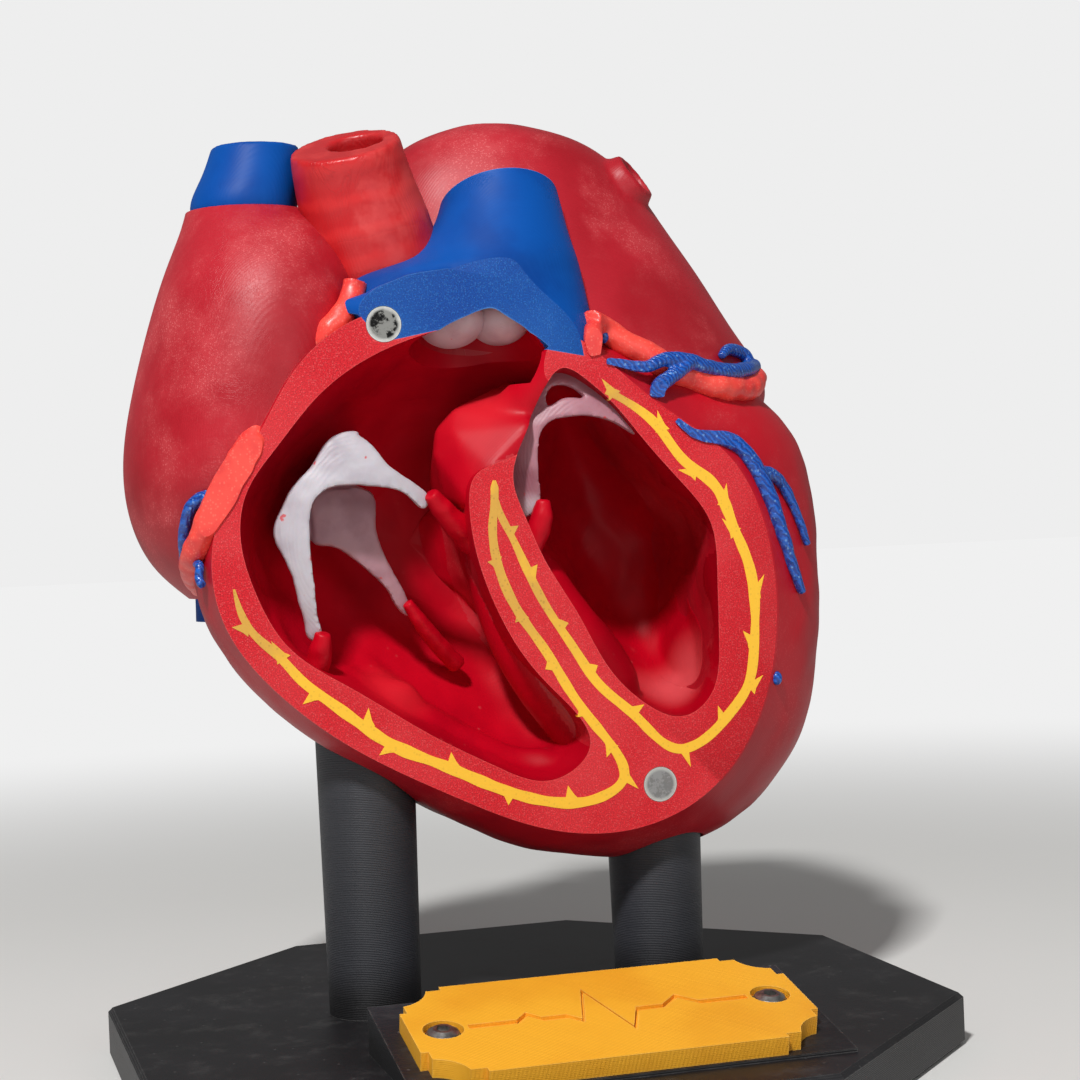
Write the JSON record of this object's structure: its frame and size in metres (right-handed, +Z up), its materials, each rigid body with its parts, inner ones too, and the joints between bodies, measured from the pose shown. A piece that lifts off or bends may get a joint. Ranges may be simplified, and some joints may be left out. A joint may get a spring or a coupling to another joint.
{
  "type": "heart anatomy model",
  "caption": "Rear half of a life-size human heart with open ventricles, valves and vessels, lifting off a black octagonal stand with a sloping plaque.",
  "frame": {"origin": "centre of the base's underside", "axes": "+Z up, +X to the viewer's right, the heart's flat cut face looks along -Y"},
  "size_m": [0.14, 0.14, 0.1675],
  "materials": {
    "black_plastic": "printed, matt",
    "plate_yellow": "printed, matt",
    "steel": "bright zinc",
    "magnet": "nickel plate, worn",
    "muscle_red": "printed, satin",
    "atrium_red": "printed, satin",
    "aorta_red": "printed, satin",
    "vessel_blue": "printed, satin",
    "artery_red": "printed, satin",
    "valve_white": "printed, satin",
    "strand_yellow": "printed, matt"
  },
  "bodies": {
    "stand": {"base_plate": "black_plastic", "left_post": "black_plastic", "right_post": "black_plastic", "nameplate_wedge": "black_plastic", "name_plate": "plate_yellow", "left_plate_screw": "steel", "right_plate_screw": "steel"},
    "heart": {"upper_magnet": "magnet", "apex_magnet": "magnet", "ventricle_wall": "muscle_red", "pulmonary_trunk": "vessel_blue", "ascending_aorta": "aorta_red", "right_atrium": "atrium_red", "superior_vena_cava": "vessel_blue", "inferior_vena_cava": "vessel_blue", "left_atrium": "atrium_red", "right_coronary_artery": "artery_red", "left_coronary_artery": "artery_red", "posterior_descending_artery": "artery_red", "great_cardiac_vein": "vessel_blue", "left_marginal_vein": "vessel_blue", "small_cardiac_vein": "vessel_blue", "coronary_sinus": "vessel_blue", "middle_cardiac_vein": "vessel_blue", "upper_papillary_muscle": "muscle_red", "lower_papillary_muscle": "muscle_red", "rear_papillary_muscle": "muscle_red", "mitral_papillary_muscle": "muscle_red", "left_wall_papillary_muscle": "muscle_red", "left_pulmonary_cusp": "valve_white", "right_pulmonary_cusp": "valve_white", "tricuspid_front_leaflet": "valve_white", "tricuspid_rear_leaflet": "valve_white", "mitral_valve": "valve_white", "left_conduction_strand": "strand_yellow", "right_conduction_strand": "strand_yellow"}
  },
  "joints": [
    {"name": "heart_lift", "type": "slide", "parent": "stand", "child": "heart", "axis": [0, 0, 1], "range_m": [0, 0.03]}
  ]
}
